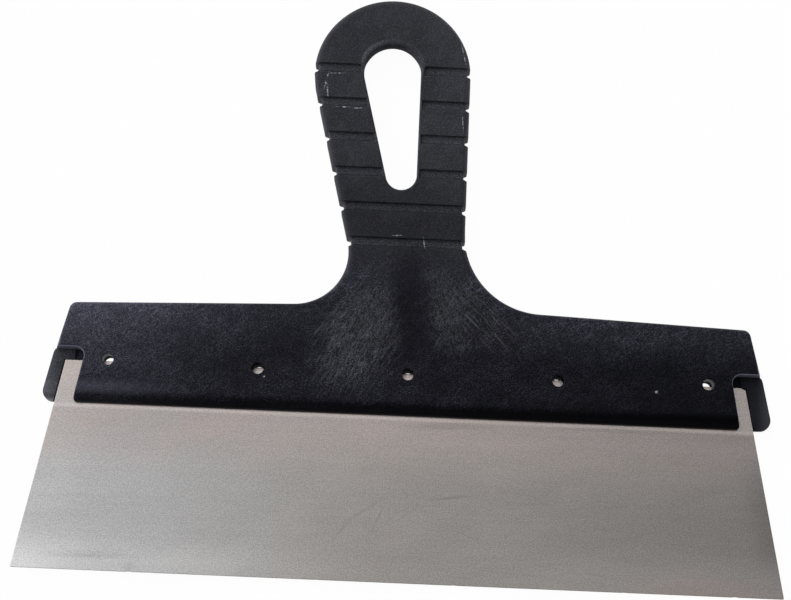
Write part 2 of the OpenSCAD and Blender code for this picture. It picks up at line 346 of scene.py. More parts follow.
# %% Cut ends and the foot of the front wall
notch_arc = rounded_corner(
    np.array([plate_side(LOW_Y), LOW_Y]),
    np.array([plate_side(NOTCH_Y), NOTCH_Y]),
    np.array([body_side(NOTCH_Y), NOTCH_Y]),
    NOTCH_R,
)
arc_p, arc_in = arc_points(notch_arc, ARC_STEPS)
cut_y = np.linspace(LOW_Y + low_d[-1, 0], arc_p[0, 1], 4)[:-1]
cut_p, cut_in = sideways(cut_y, plate_side(cut_y), plate_pull)
cut_p, cut_in = np.concatenate([cut_p, arc_p]), np.concatenate([cut_in, arc_in])
cut_z = np.broadcast_to(THICK - END_DROP, (len(cut_p), len(END_DROP)))
cut_front = band(cut_p, cut_in, np.broadcast_to(END_RUN, cut_z.shape), cut_z)
last_y = NOTCH_Y + END_RUN
last_x = body_side(last_y) + (EDGE_R + LEVEL) * end_pull
cut_front = np.concatenate([cut_front, np.stack([last_x, last_y, THICK - END_DROP], -1)[None]])

right_rim = np.concatenate([upper_front[0, 1:], cut_front[-2::-1, 0], low_front[-2::-1, 0]])
rim_top = np.concatenate([right_rim, low_front[0, 1:-1], mirrored(right_rim)])
rim_foot = rim_top * np.array([1, 1, 0]) + np.array([0, 0, SEAM])
rim_foot[[0, -1]] = upper_front[[0, -1], 0]
front_wall = np.stack([rim_top, rim_foot], 1)
print("cut ends:", cut_front.shape[:2], "each, and a wall of", len(front_wall), "points below them")

# %% [markdown]
# ## The back of the body
#
# The back has no cut, and its ends carry the two ears that hold the blade's corners from the side. An
# ear is the same edge profile with a step: past the quarter round the surface goes out level, turns
# and rises to the seam. The step's width is one more number at each station. It is zero along the
# blade, and at an ear's top it shrinks to the lean of the end wall above.

# %% Back edge with the ears
LOW_R, EAR_ROUND, STEP_TURN = 3.6, 2.4, 0.85
FOOT_STEPS, EAR_STEPS = 10, 6
low_x = low_front[0, len(END_RUN) - 1 : -len(END_RUN) + 1, 0][::-1]
foot_p, foot_in = arc_points(foot_arc, FOOT_STEPS)
depth = np.linspace(1, 0, EAR_STEPS + 1)
side_y = np.linspace(foot_p[-1, 1], NOTCH_Y - EAR_ROUND, 4)[1:-1]
ear_y = np.append(side_y, NOTCH_Y - EAR_ROUND * depth)
ear_p, ear_in = sideways(ear_y, body_side(ear_y), end_pull)
ear_p, ear_in = np.concatenate([foot_p, ear_p]), np.concatenate([foot_in, ear_in])
ear_r = np.concatenate([np.linspace(LOW_R, EDGE_R, len(foot_p)), np.full(len(ear_y), EDGE_R)])
flare_gap = np.tan(np.radians(END_FLARE)) - np.tan(np.radians(EAR_FLARE))
ear_wide = EAR_HALF - BODY_HALF + ear_p[:, 1] * flare_gap
ear_share = np.append(np.ones(len(ear_p) - len(depth)), np.sqrt(1 - (1 - depth) ** 2))
lean_out = upper_front[0, 0, 0] - ear_p[-1, 0]
ear_step = ear_wide * ear_share
ear_seam = lean_out + (ear_wide - lean_out) * ear_share

low_p = np.stack([low_x, np.full_like(low_x, LOW_Y)], -1)
back_p = np.concatenate([mirrored(ear_p), low_p, ear_p])
back_in = np.concatenate([mirrored(ear_in), np.broadcast_to([0.0, 1.0], low_p.shape), ear_in])
back_r = np.concatenate([ear_r[::-1], np.full(len(low_x), LOW_R), ear_r])[:, None]
back_step = np.concatenate([-ear_step[::-1], 0 * low_x, ear_step])[:, None]
back_seam = np.concatenate([-ear_seam[::-1], 0 * low_x, ear_seam])[:, None]
back_edge = band(
    back_p,
    back_in,
    np.concatenate([back_r + LEVEL, back_r * RUN[::-1]], 1),
    np.concatenate([0 * back_r, back_r * DROP[::-1]], 1),
)
ear_x = back_p[:, :1] + np.concatenate([STEP_TURN * back_step, back_step, back_seam], 1)
turn_z = back_r + (1 - STEP_TURN) * np.abs(back_step)
ear_z = np.concatenate([back_r, turn_z, np.full_like(back_r, SEAM)], 1)
ear_wall = np.stack([ear_x, np.broadcast_to(back_p[:, 1:], ear_x.shape), ear_z], -1)
back_edge = np.concatenate([back_edge, ear_wall], 1)
print("back edge:", back_edge.shape[:2], "with ears", ear_wide.max().round(2), "mm wide")

# %% [markdown]
# ## Finger hole and pin holes
#
# The finger hole has a large round end, a small round end and two straight sides. Its rim is narrow
# along the sides and swells over the large end, where the finger pulls. The small holes are left by the
# pins that hold the blade in the mould. All are the same thing: a profile of two quarter rounds and a
# leaning wall, carried round a closed path. The finger hole's stations include every height at which a
# groove's row reaches the rim, so that rows and rim share their points.

# %% Path round the finger hole
HOLE_TOP_R, HOLE_LOW_R, HOLE_LEN, HOLE_TILT = 11.5, 6.2, 42.7, 7.0
SIDE_RIM, TOP_RIM, RIM_START, RIM_FULL, RIM_LEAN = 0.8, 3.3, -0.05, 0.65, 0.88
RING_STEPS, LEAST_STEP = 5000, 1e-5
TOP_STEPS, LOW_END_STEPS = 48, 24
hole_low = LOOP_C + HOLE_LEN * heading(HOLE_TILT - 90)
taper = np.degrees(np.arcsin((HOLE_TOP_R - HOLE_LOW_R) / HOLE_LEN))
RIGHT_A, LEFT_A = HOLE_TILT - taper, 180 + HOLE_TILT + taper
TOP_TURN, LOW_TURN = LEFT_A - RIGHT_A, 360 + RIGHT_A - LEFT_A
TOP_U, LOW_U = (90 - RIGHT_A) / TOP_TURN, 2 + (270 - LEFT_A) / LOW_TURN


def hole_station(u):
    """Point and way into the material at u: 0 to 1 over the top end, 1 to 2 down the left side, 2 to 3
    round the low end, 3 to 4 up the right side."""
    f = (u % 1)[:, None]
    part = np.floor(u).astype(int)[:, None]
    top_out = heading(RIGHT_A + TOP_TURN * f[:, 0])
    low_out = heading(LEFT_A + LOW_TURN * f[:, 0])
    parts = [part == 0, part == 1, part == 2]
    out = np.select(parts, [top_out, heading(LEFT_A) + 0 * f, low_out], heading(RIGHT_A))
    mix = np.select(parts, [0 * f, f, 0 * f + 1], 1 - f)
    middle = LOOP_C * (1 - mix) + hole_low * mix
    return middle + out * (HOLE_TOP_R * (1 - mix) + HOLE_LOW_R * mix), out


def hole_rim(out):
    """Radius of the finger hole's rim where the way into the material is out: a smooth step of how far
    that way points up, so that the rim swells over the large end."""
    share = np.clip((out[:, 1] - RIM_START) / (RIM_FULL - RIM_START), 0, 1)
    return SIDE_RIM + (TOP_RIM - SIDE_RIM) * share**2 * (3 - 2 * share)


def level_ring(u):
    """Points where the rim is level with the flat faces, at the stations u."""
    points, out = hole_station(u % 4)
    return points + out * (hole_rim(out) + LEVEL)[:, None]


def hole_crossing(y, top_u):
    """u at which the level ring is at height y, between the lowest station and the top one, read off a
    fine table."""
    u = np.linspace(LOW_U, top_u, RING_STEPS + 1)
    return np.interp(y, level_ring(u)[:, 1], u) % 4


below_hole = row_y < level_ring(np.array([LOW_U]))[0, 1] + LEVEL
beside_hole = ~below_hole & (row_y <= groove_y.max())
left_u = hole_crossing(row_y[beside_hole], TOP_U)
right_u = hole_crossing(row_y[beside_hole], TOP_U + 4)
even_u = np.concatenate([np.linspace(0, 1, TOP_STEPS + 1), np.linspace(2, 3, LOW_END_STEPS + 1)])
hole_u = np.unique(np.concatenate([even_u, left_u, right_u]))
hole_u = hole_u[np.append(True, np.diff(hole_u) > LEAST_STEP)]
print("rows end at", len(left_u), "places on each side of the finger hole")

# %% Walls of the finger hole and the pin holes
PIN_R, PIN_EDGE, PIN_FLAT, PIN_LEAN = 2.25, 0.3, 0.25, 0.1
PIN_Y, END_PIN_Y, PIN_INSET, PIN_STEPS = -1.3, -0.2, 9.6, 36
PIN_PITCH = (PLATE_HALF - PIN_INSET) / 2
pin_place = np.arange(-2, 3)
pin_c = np.stack([PIN_PITCH * pin_place, np.where(np.abs(pin_place) == 2, END_PIN_Y, PIN_Y)], -1)


def through_hole(points, out, edge, reach, lean, back_edge):
    """Closed wall of a hole: level ring at reach, quarter round of radius edge, wall, quarter round of
    radius back_edge, level ring. The wall leans, so the hole is wider by lean at the back."""
    n = len(points)
    sizes = np.broadcast_arrays(edge, reach, lean, back_edge, np.zeros(n))
    edge, reach, lean, back_edge = (size[:, None] for size in sizes[:4])
    seam_share = (THICK - edge - SEAM) / (THICK - edge - back_edge)
    back_reach = lean + back_edge + reach - edge
    offset = [reach, edge * RUN[::-1], lean * seam_share, lean + back_edge * RUN, back_reach]
    front_level = groove(points[:, 1:] + reach * out[:, 1:])
    back_level = groove(points[:, 1:] + back_reach * out[:, 1:])
    seam = np.full((n, 1), SEAM)
    z = [THICK - front_level, THICK - edge * DROP[::-1], seam, back_edge * DROP, back_level]
    return band(points, out, np.concatenate(offset, 1), np.concatenate(z, 1))


hole_p, hole_out = hole_station(hole_u)
rim = hole_rim(hole_out)
finger_hole = through_hole(hole_p, hole_out, rim, rim + LEVEL, RIM_LEAN * rim, (1 - RIM_LEAN) * rim)
pin_out = heading(np.linspace(0, 360, PIN_STEPS + 1)[:-1])
pin_size = PIN_EDGE, PIN_EDGE + PIN_FLAT, PIN_LEAN, PIN_EDGE
pin_holes = [through_hole(c + PIN_R * pin_out, pin_out, *pin_size) for c in pin_c]
print("finger hole:", finger_hole.shape[:2], "and", len(pin_holes), "pin holes")

# %% [markdown]
# ## Flat faces
#
# What is left are flat faces with holes in them. A grid would have to bend round every hole, so these
# are filled by Delaunay triangulation: it joins given points and lines into triangles, and an even-odd
# count of the outlines that lie to one side of a triangle says whether it is inside. The heights come
# from the groove function, so the grooves cross the flat faces as well.


# %% Fill a flat region
def segments(points):
    """Line through a run of points, as pairs of ends."""
    return np.stack([points[:-1], points[1:]], 1)


def is_inside(points, loops):
    """Even-odd test: a ray along +x from a point inside crosses the outlines an odd number of times."""
    ends = np.concatenate([np.stack([loop, np.roll(loop, -1, 0)], 1) for loop in loops])
    (ax, ay), (bx, by) = ends[:, 0].T, ends[:, 1].T
    x, y = points[:, :1], points[:, 1:]
    straddles = (ay > y) != (by > y)
    at = ax + (y - ay) * (bx - ax) / np.where(by == ay, 1, by - ay)
    return (straddles & (at > x)).sum(1) % 2 == 1


LEAST_AREA, LEAST_GAP = 1e-5, 1e-4


def fill(loops, lines):
    """Triangles between closed outlines, with the given lines among their edges. A triangle without
    area lies on a straight outline and is left out."""
    closed = [segments(np.concatenate([loop, loop[:1]])) for loop in loops]
    ends = np.concatenate(closed + lines).reshape(-1, 2)
    pairs = np.arange(len(ends)).reshape(-1, 2).tolist()
    found = delaunay_2d_cdt(ends.tolist(), pairs, [], 0, LEAST_GAP)
    points, triangles = np.array([v[:] for v in found[0]]), np.array(found[2])
    a, b, c = points[triangles].transpose(1, 0, 2)
    area = np.abs(np.cross(b - a, c - a))
    return points, triangles[is_inside((a + b + c) / 3, loops) & (area > LEAST_AREA)]


# %% Front face and back face
level_column = upper_front.shape[1] - 1
end_rings = len(END_RUN) - 1
cut_level = cut_front[:, -1, :2]
upper_level = upper_front[end_rings : len(upper_p) - end_rings, level_column, :2]
low_level = low_front[-1, end_rings:-end_rings, :2][::-1]
front_loop = np.concatenate([low_level, cut_level[1:-1], upper_level, mirrored(cut_level[1:-1])])
back_loop = np.concatenate([back_edge[:, 0, :2], upper_back[1:-1, level_column, :2]])
front_holes = [hole[:, 0, :2] for hole in [finger_hole, *pin_holes]]
back_holes = [hole[:, -1, :2] for hole in [finger_hole, *pin_holes]]

row_left = lr_p[::-1] + lr_in[::-1] * (GRIP_R + LEVEL)
row_right = rr_p + rr_in * (GRIP_R + LEVEL)
row_lines = [
    np.stack([row_left[below_hole], row_right[below_hole]], 1),
    np.stack([row_left[beside_hole], level_ring(left_u)], 1),
    np.stack([level_ring(right_u), row_right[beside_hole]], 1),
]
front_xy, front_tri = fill([front_loop] + front_holes, row_lines)
back_xy, back_tri = fill([back_loop] + back_holes, row_lines)
front_face = np.column_stack([front_xy, THICK - groove(front_xy[:, 1])])
back_face = np.column_stack([back_xy, groove(back_xy[:, 1])])
print("flat faces:", len(front_tri), "and", len(back_tri), "triangles")

# %% [markdown]
# ## Ledges under the blade's corners
#
# Inside each cut a ledge lies level with the blade's front. The blade's corner is let into it, with a
# narrow gap to the ear, and a deeper pocket opens past the blade's top edge. The ledge is one more flat
# region whose height depends on where a point is: in the seat, in the pocket or on the ear.

# %% Seat, pocket and ear at one end
SEAT_GAP, FOOT_GAP, STEP = 0.5, 0.1, 0.06
POCKET_W, POCKET_D = 4.0, 1.4


def ledge(blade_shift):
    """Ledge at the right end, for a blade whose middle is shifted by blade_shift."""
    slope = np.tan(np.radians(BLADE_FLARE))
    seat_x = BLADE_TOP + blade_shift + SEAT_GAP
    pocket_x = PLATE_HALF + POCKET_W
    foot_y = LOW_Y + FOOT_GAP
    foot_x = seat_x - slope * foot_y
    out_x = pocket_x + STEP
    wall_foot = rim_foot[: len(right_rim) + end_rings, :2]
    loop = np.concatenate([wall_foot, back_edge[-len(ear_p) : -1, -1, :2]])
    beside = np.concatenate([[[plate_side(foot_y), foot_y]], cut_p])
    beside = beside - STEP * np.concatenate([cut_in[:1], cut_in])
    corner = beside[-1]
    seat = np.array([beside[0], [foot_x, foot_y], [seat_x, 0], [plate_side(0) + STEP, 0]])
    seat_out = np.array([[foot_x + STEP, foot_y - STEP], [seat_x + STEP, STEP], [out_x, STEP]])
    pocket_in = [plate_side(STEP) + STEP, STEP]
    pocket = np.array([pocket_in, [pocket_x, STEP], [pocket_x, corner[1]], corner])
    pocket_out = np.array([[out_x, STEP], [out_x, NOTCH_Y - STEP / 2]])
    lines = [segments(run) for run in (beside, seat, seat_out, pocket, pocket_out)]
    xy, triangles = fill([loop], lines)
    x, y = xy.T
    in_pocket = (y > STEP / 2) & (x < pocket_x + STEP / 2)
    in_seat = (y <= STEP / 2) & (x < seat_x - slope * y + STEP / 2) & (y > foot_y - STEP / 2)
    z = np.where(in_pocket, SEAM - POCKET_D, np.where(in_seat, SEAM - BLADE_T - STEP, SEAM))
    on_loop = np.hypot(*(xy[:, None] - loop[None]).transpose(2, 0, 1)).min(1) < STEP / 10
    return np.column_stack([xy, np.where(on_loop, SEAM, z)]), triangles


right_ledge, right_ledge_tri = ledge(-BODY_SHIFT)
left_ledge, left_ledge_tri = ledge(BODY_SHIFT)
left_ledge = left_ledge * np.array([-1, 1, 1])
print("ledges:", len(right_ledge_tri), "and", len(left_ledge_tri), "triangles")

# %% [markdown]
# ## Sewing the skin together
#
# All these patches share their border points, so merging points that coincide closes the skin. The
# normals are then turned outwards, a count of edges without two faces shows whether a gap is left, and
# only edges steeper than the roundings' steps stay sharp.


# %% Make a mesh of patches
def quads(n, m, closed):
    """Faces of an n by m grid of points numbered row by row; closed joins the last row to the first."""
    row = np.arange(n if closed else n - 1)[:, None]
    column = np.arange(m - 1)
    a, b = row * m + column, (row + 1) % n * m + column
    return np.stack([a, b, b + 1, a + 1], -1).reshape(-1, 4)


def grid_patch(points, closed=False):
    """A grid of points as a patch."""
    return points.reshape(-1, 3), quads(*points.shape[:2], closed)


def sewn_mesh(name, patches, shift, weld=0.004, sharp=40):
    """One closed mesh object of several patches, in metres, at the origin."""
    starts = np.cumsum([0] + [len(points) for points, _ in patches])
    points = (np.concatenate([points for points, _ in patches]) + shift) * MM
    faces = [face for (_, f), start in zip(patches, starts) for face in (f + start).tolist()]
    mesh = bpy.data.meshes.new(name)
    mesh.from_pydata(points.tolist(), [], faces)
    bm = bmesh.new()
    bm.from_mesh(mesh)
    bmesh.ops.remove_doubles(bm, verts=bm.verts, dist=weld * MM)
    bmesh.ops.dissolve_degenerate(bm, edges=bm.edges, dist=weld * MM / 4)
    bmesh.ops.recalc_face_normals(bm, faces=bm.faces)
    gaps = sum(len(edge.link_faces) != 2 for edge in bm.edges)
    volume = bm.calc_volume(signed=True) / MM**3
    bm.to_mesh(mesh)
    bm.free()
    mesh.shade_smooth()
    mesh.set_sharp_from_angle(angle=np.radians(sharp))
    piece = bpy.data.objects.new(name, mesh)
    bpy.context.scene.collection.objects.link(piece)
    print(name, len(mesh.polygons), "faces,", gaps, "open edges,", round(volume), "mm3")
    return piece


# %% The handle
handle = sewn_mesh(
    "handle_moulding",
    [
        grid_patch(upper_front),
        grid_patch(upper_back),
        grid_patch(low_front),
        grid_patch(cut_front),
        grid_patch(cut_front * np.array([-1, 1, 1])),
        grid_patch(front_wall),
        grid_patch(back_edge),
        grid_patch(finger_hole, closed=True),
        *[grid_patch(pin, closed=True) for pin in pin_holes],
        (front_face, front_tri),
        (back_face, back_tri),
        (right_ledge, right_ledge_tri),
        (left_ledge, left_ledge_tri),
    ],
    np.array([BODY_SHIFT, -Y_MIDDLE, 0]),
)
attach(handle, "root")
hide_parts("handle")

place = np.empty(3 * len(handle.data.vertices))
handle.data.vertices.foreach_get("co", place)
groove_share = groove(place[1::3] / MM + Y_MIDDLE) / GROOVE_D
handle.data.attributes.new("groove", "FLOAT", "POINT").data.foreach_set("value", groove_share)
print("points in grooves:", np.count_nonzero(groove_share > 0.5))

# %% [markdown]
# ## The blade
#
# The blade is sheet steel, so it is an outline with a thin rounded edge. A Bevel modifier could round
# it, but here the same band that made the handle's edges runs once round the sheet. Its corners are
# rounded by tiny arcs, one top corner is clipped, and the working edge has a few shallow nicks, each a
# bell curve that lifts the edge. Inside the moulding the sheet has round windows, through which the
# plastic grips it.

# %% Outline and edge of the blade
BLADE_EDGE_R, BLADE_CORNER_R = 0.14, 0.5
CLIP = np.array([1.8, 0.9])
NICK_X = np.array([-104.0, -96.0, -31.0, 22.0, 88.0, 131.0])
NICK_DEPTH = np.array([0.18, 0.1, 0.08, 0.12, 0.1, 0.22])
NICK_W = 0.8
CORNER_STEPS, EDGE_STEPS = 4, 300


def working_edge(x):
    """y of the working edge: straight, lifted by a bell curve at each nick."""
    bells = NICK_DEPTH * np.exp(-(((x[:, None] - NICK_X) / NICK_W) ** 2))
    return -BLADE_H + bells.sum(1)


flare_in = CLIP[1] * np.tan(np.radians(BLADE_FLARE))
blade_corners = np.array(
    [
        [-BLADE_W / 2, -BLADE_H],
        [BLADE_W / 2, -BLADE_H],
        [BLADE_TOP + flare_in, -CLIP[1]],
        [BLADE_TOP - CLIP[0], 0],
        [-BLADE_TOP, 0],
    ]
)
turns = zip(np.roll(blade_corners, 1, 0), blade_corners, np.roll(blade_corners, -1, 0))
arcs = [arc_points(rounded_corner(*turn, BLADE_CORNER_R), CORNER_STEPS) for turn in turns]
edge_x = np.linspace(arcs[0][0][-1, 0], arcs[1][0][0, 0], EDGE_STEPS + 1)[1:-1]
edge_p = np.stack([edge_x, working_edge(edge_x)], -1)
edge_in = np.broadcast_to([0.0, 1.0], edge_p.shape)
sheet_p = np.concatenate([arcs[0][0], edge_p] + [arc[0] for arc in arcs[1:]])
sheet_in = np.concatenate([arcs[0][1], edge_in] + [arc[1] for arc in arcs[1:]])
edge_round = BLADE_EDGE_R * np.append(RUN[::2], RUN[-1] * 2)
edge_fall = BLADE_EDGE_R * np.append(DROP[::2], 0)
sheet_offset = np.concatenate([edge_round[::-1], edge_round])
sheet_z = SEAM - np.concatenate([edge_fall[::-1], BLADE_T - edge_fall])
sheet_offset = np.broadcast_to(sheet_offset, (len(sheet_p), len(sheet_offset)))
sheet_edge = band(sheet_p, sheet_in, sheet_offset, sheet_z)
print("sheet:", sheet_edge.shape[:2], "and", len(NICK_X), "nicks")

# %% Windows, and the sheet sewn together
WINDOW_R, WINDOW_Y, WINDOW_STEPS = 3.0, -9.0, 32
window_out = heading(np.linspace(0, 360, WINDOW_STEPS + 1)[:-1])
window_x = (PIN_PITCH * (np.arange(-2, 2)[:, None] + np.array([1, 2]) / 3)).ravel() + BODY_SHIFT
window_z = SEAM - np.array([0, BLADE_T])
window_offset = np.zeros((len(window_out), 2))
windows = [
    band(np.array([x, WINDOW_Y]) + WINDOW_R * window_out, window_out, window_offset, window_z)
    for x in window_x
]
sheet_xy, sheet_tri = fill([sheet_edge[:, 0, :2]] + [window[:, 0, :2] for window in windows], [])
blade = sewn_mesh(
    "blade_sheet",
    [
        grid_patch(sheet_edge, closed=True),
        *[grid_patch(window, closed=True) for window in windows],
        *[(np.column_stack([sheet_xy, np.full(len(sheet_xy), z)]), sheet_tri) for z in window_z],
    ],
    np.array([0, -Y_MIDDLE, 0]),
)
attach(blade, "root")
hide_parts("blade")

# %% [markdown]
# ## Building a finish from nodes
#
# A finish is a small network: coordinates, masks made from them, and a shader at the end. Written node
# by node it would fill pages, so one class keeps a node tree under construction, and each method adds a
# node or two and returns a socket. A second class adds a material and its coordinates. Positions are
# read in millimetres on the piece itself, so a scuff stays where it is when the knife turns.


# %% Node trees
class Network:
    """A node tree and short ways to add nodes to it."""

    def __init__(self, tree):
        self.tree = tree

    def add(self, kind, inputs=(), output=0, **options):
        """Add a node, set its options, link sockets and set values, and return one output."""
        node = self.tree.nodes.new("ShaderNode" + kind)
        for name, value in options.items():
            setattr(node, name, value)
        self.feed(node, dict(inputs))
        return node.outputs[output]

    def feed(self, node, inputs):
        """Link each socket, and set each plain value, on a node's inputs."""
        for key, value in inputs.items():
            if isinstance(value, bpy.types.NodeSocket):
                self.tree.links.new(value, node.inputs[key])
            else:
                node.inputs[key].default_value = value

    def split(self, vector):
        """The three parts of a vector."""
        return self.add("SeparateXYZ", {0: vector}).node.outputs

    def math(self, operation, a, b=0.0):
        """One sum, product or the like."""
        return self.add("Math", {0: a, 1: b}, operation=operation)

    def plus(self, *parts):
        """Sum of several sockets or numbers."""
        return reduce(partial(self.math, "ADD"), parts)

    def times(self, *parts):
        """Product of several sockets or numbers."""
        return reduce(partial(self.math, "MULTIPLY"), parts)

    def most(self, *parts):
        """Largest of several sockets or numbers."""
        return reduce(partial(self.math, "MAXIMUM"), parts)

    def ramp(self, value, low, high, to_low=0.0, to_high=1.0):
        """Smooth step: to_low up to low, to_high from high on."""
        ends = {"From Min": low, "From Max": high, "To Min": to_low, "To Max": to_high}
        return self.add("MapRange", {"Value": value, **ends}, interpolation_type="SMOOTHSTEP")


# %% A finish under construction
class Finish(Network):
    """One material, its coordinates in millimetres, and masks made from them."""

    def __init__(self, name):
        self.material = bpy.data.materials.new(name)
        self.material.use_nodes = True
        super().__init__(self.material.node_tree)
        self.shader = self.tree.nodes["Principled BSDF"]
        place = self.add("TexCoord", output="Object")
        self.at = self.add("VectorMath", {0: place, "Scale": 1 / MM}, operation="SCALE")
        self.x, self.y, self.z = self.split(self.at)

    def local(self, centre, size, turn=0.0, at=None):
        """Coordinates about a centre, turned and measured in units of size along each axis."""
        inputs = {"Vector": at or self.at, "Location": (*centre, 0), "Scale": (*size, size[-1])}
        inputs["Rotation"] = (0, 0, np.radians(turn))
        return self.add("Mapping", inputs, vector_type="TEXTURE")

    def noise(self, size, turn=0.0, detail=3.0, low=0.0, high=1.0):
        """Noise with grains of a given length and width, turned, spread from low to high."""
        inputs = {"Vector": self.local((0, 0), size, turn), "Scale": 1.0, "Detail": detail}
        inputs["Roughness"] = 0.6
        return self.ramp(self.add("TexNoise", inputs), low, high)

    def spot(self, centre, size, turn=0.0, soft=0.5, at=None):
        """One inside an ellipse, falling to zero over a soft border."""
        place = self.local(centre, size, turn, at)
        flat = self.add("VectorMath", {0: place, 1: (1, 1, 0)}, operation="MULTIPLY")
        far = self.add("VectorMath", {0: flat}, output="Value", operation="LENGTH")
        return self.ramp(far, 1 + soft, 1 - soft)

    def hairs(self, turns, size, low, high):
        """Crossing hairs: the strongest of several stretched noises, each turned another way."""
        return self.most(*[self.noise(size, turn, 1.0, low, high) for turn in turns])

    def marks(self, table, soft):
        """Strongest of several spots: rows of centre x, centre y, half length, half width, turn."""
        return self.most(*[self.spot(row[:2], row[2:4], row[4], soft) for row in table])

    def lighten(self, tone, share, by):
        """Tone times one where share is 0 and times 1 + by where share is 1."""
        return self.times(tone, self.plus(1.0, self.times(share, by)))

    def tinted(self, tint, tone):
        """Colour: a tint scaled by a tone."""
        return self.add("VectorMath", {0: tint, "Scale": tone}, operation="SCALE")

    def blend(self, share, a, b):
        """Colour between a and b."""
        return self.add("Mix", {0: share, 6: a, 7: b}, output=2, data_type="RGBA")


print("a network adds", ", ".join(name for name in vars(Network) if name[0] != "_"))
print("a finish adds", ", ".join(name for name in vars(Finish) if name[0] != "_"))

# %% [markdown]
# ## Black plastic
#
# The plastic is black, but work has rubbed it grey. An image could hold the marks, but it would fit one
# unwrapped mesh only. Here each kind of wear, and some painted light and shade, is a layer of tone,
# placed in millimetres on the piece, and the tones are simply added: grain all over, short hairs in
# clusters on the body, dust with painted light towards the shoulders and the left end, pale lands and
# dusty grooves on the grip, and two rubbed fans beside the neck with a painted sheen. Painted shade
# darkens the body's lower right, its lower roll, the grooves' lower flanks, the pin holes' walls and the
# ledges towards the pockets, and painted highlights lie on the rims of the notches, the cut ends and the
# finger hole. A tone of 0.05 reflects a twentieth of the light. Edges and recesses come from the
# surface's own direction and depth.

# %% Wear, painted light and painted shade on the body
BODY_HAIRS = (40, 54, -46, 22), (3.2, 0.7), 0.54, 0.78
CALM_MIDDLE = (-2, -20), (52, 16), 0, 0.4
GRAIN, HAIR, DUST, SHEEN = 0.016, 0.008, 0.001, 0.017
UPPER_HAIR, LEFT_HAIR, UPPER_DUST_AND_LIGHT, LEFT_DUST_AND_LIGHT = 0.021, 0.02, 0.0095, 0.012


def body_wear_and_painted_light(f, specks):
    """Tone of the body: specks, hairs in clusters, and dust with painted light towards the shoulders and
    the left end. Painted shade darkens it to the right and over the lower roll, whose left end has a
    painted sheen."""
    left = f.ramp(f.x, -60, -145)
    upper = f.lighten(f.ramp(f.y, -33, -14), f.spot(*CALM_MIDDLE), -0.6)
    clouds = f.noise((14, 8), 20, 4, 0.34, 0.68)
    # Painted sheen: a lighter band where the lower roll starts, at the left end.
    sheen = f.times(f.ramp(f.y, -43, -46.5), f.ramp(f.y, -51, -48.5), f.ramp(f.x, -80, -125), SHEEN)
    grain = f.times(specks, f.plus(GRAIN, f.times(clouds, GRAIN)))
    thick = f.plus(HAIR, f.times(upper, UPPER_HAIR), f.times(left, LEFT_HAIR))
    hair = f.times(f.hairs(*BODY_HAIRS), f.plus(0.3, clouds), thick)
    # Dust and painted light: the body is lighter towards the shoulders and the left end.
    above = f.times(upper, f.plus(UPPER_DUST_AND_LIGHT, f.times(left, LEFT_DUST_AND_LIGHT)))
    dust = f.plus(DUST, above, f.times(left, f.ramp(f.y, -50, -28, 0.012, 0.021)))
    tone = f.plus(sheen, grain, hair, f.times(dust, f.plus(0.65, f.times(specks, 1.8))))
    # Painted shade: darker towards the lower right and over the lower roll.
    tone = f.lighten(tone, f.times(f.ramp(f.x, 0, 130), f.ramp(f.y, -8, -42)), -0.65)
    roll = f.ramp(f.plus(f.y, f.ramp(f.x, 80, 125, 1.2, -0.6)), -46.5, -50)
    return f.lighten(tone, roll, f.ramp(f.x, -100, 60, -0.5, -0.95))


# %% Wear on the grip, wear and a painted sheen on the neck
LEFT_FAN = (-15, -24), (14, 21), -22, 0.35
RIGHT_FAN = (19, -13), (17, 6.5), -65, 0.5
SIDE_FAN = (29, -13), (16, 7), -45, 0.5
RUB_HAIRS = (60, 50, 70), (4.5, 0.75), 0.48, 0.78
UPRIGHT_HAIRS = (96, 108, 84), (4.0, 0.75), 0.48, 0.78
DRAG_HAIRS = (-50, -42), (14, 0.9), 0.56, 0.74


def grip_wear(f, specks):
    """Tone of the grip: pale speckled lands, darker towards the neck, and dust in the grooves. Also
    returns the share of a groove's depth at each point."""
    clouds = f.noise((12, 7), 60, 3, 0.36, 0.66)
    depth = f.add("Attribute", output="Fac", attribute_name="groove")
    lands = f.plus(0.017, f.times(specks, 0.036), f.times(clouds, 0.007))
    lands = f.lighten(lands, f.ramp(f.y, 60, 20), -0.42)
    lands = f.lighten(lands, f.ramp(f.x, 0, 16), 0.16)
    dust = f.times(depth, f.plus(0.006, f.times(specks, 0.045)), f.ramp(f.y, 30, 18, 0.9, 1.35))
    return f.plus(lands, dust), depth


def neck_wear_and_painted_sheen(f, specks):
    """Tone of the rubbed fans beside the neck, which also carry a painted sheen, and how much of each is
    there: hairs along the rub on the left, a narrower rub on the right, and long streaks at its side.
    Noise feathers their borders."""
    feather = f.times(f.noise((9, 1.4), 58, 1.5, 0.3, 0.7), 8.0)
    moved = f.add("CombineXYZ", {"X": f.plus(f.x, feather), "Y": f.y, "Z": f.z})
    left, right, side = f.spot(*LEFT_FAN, moved), f.spot(*RIGHT_FAN, moved), f.spot(*SIDE_FAN)
    patches = f.noise((9, 5), 50, 3, 0.3, 0.66)
    rub = f.plus(0.001, f.times(f.hairs(*RUB_HAIRS), 0.038), f.times(specks, 0.045))
    upright = f.plus(f.times(f.hairs(*UPRIGHT_HAIRS), 0.026), f.times(specks, 0.017))
    drag = f.plus(f.times(f.hairs(*DRAG_HAIRS), 0.034), f.times(specks, 0.01))
    # The fans' pale haze is partly rubbing and partly a painted sheen on the neck's flanks.
    left_tone = f.times(left, f.plus(0.5, f.times(patches, 0.5)), rub)
    right_tone = f.times(right, f.plus(0.5, f.times(patches, 0.6)), upright)
    return f.plus(left_tone, right_tone, f.times(side, drag)), f.most(left, right, side)


# %% Wear and painted light on edges, painted shade in the pin holes
OVER_HOLE = (-12, 95), (16, 10), 0, 0.3


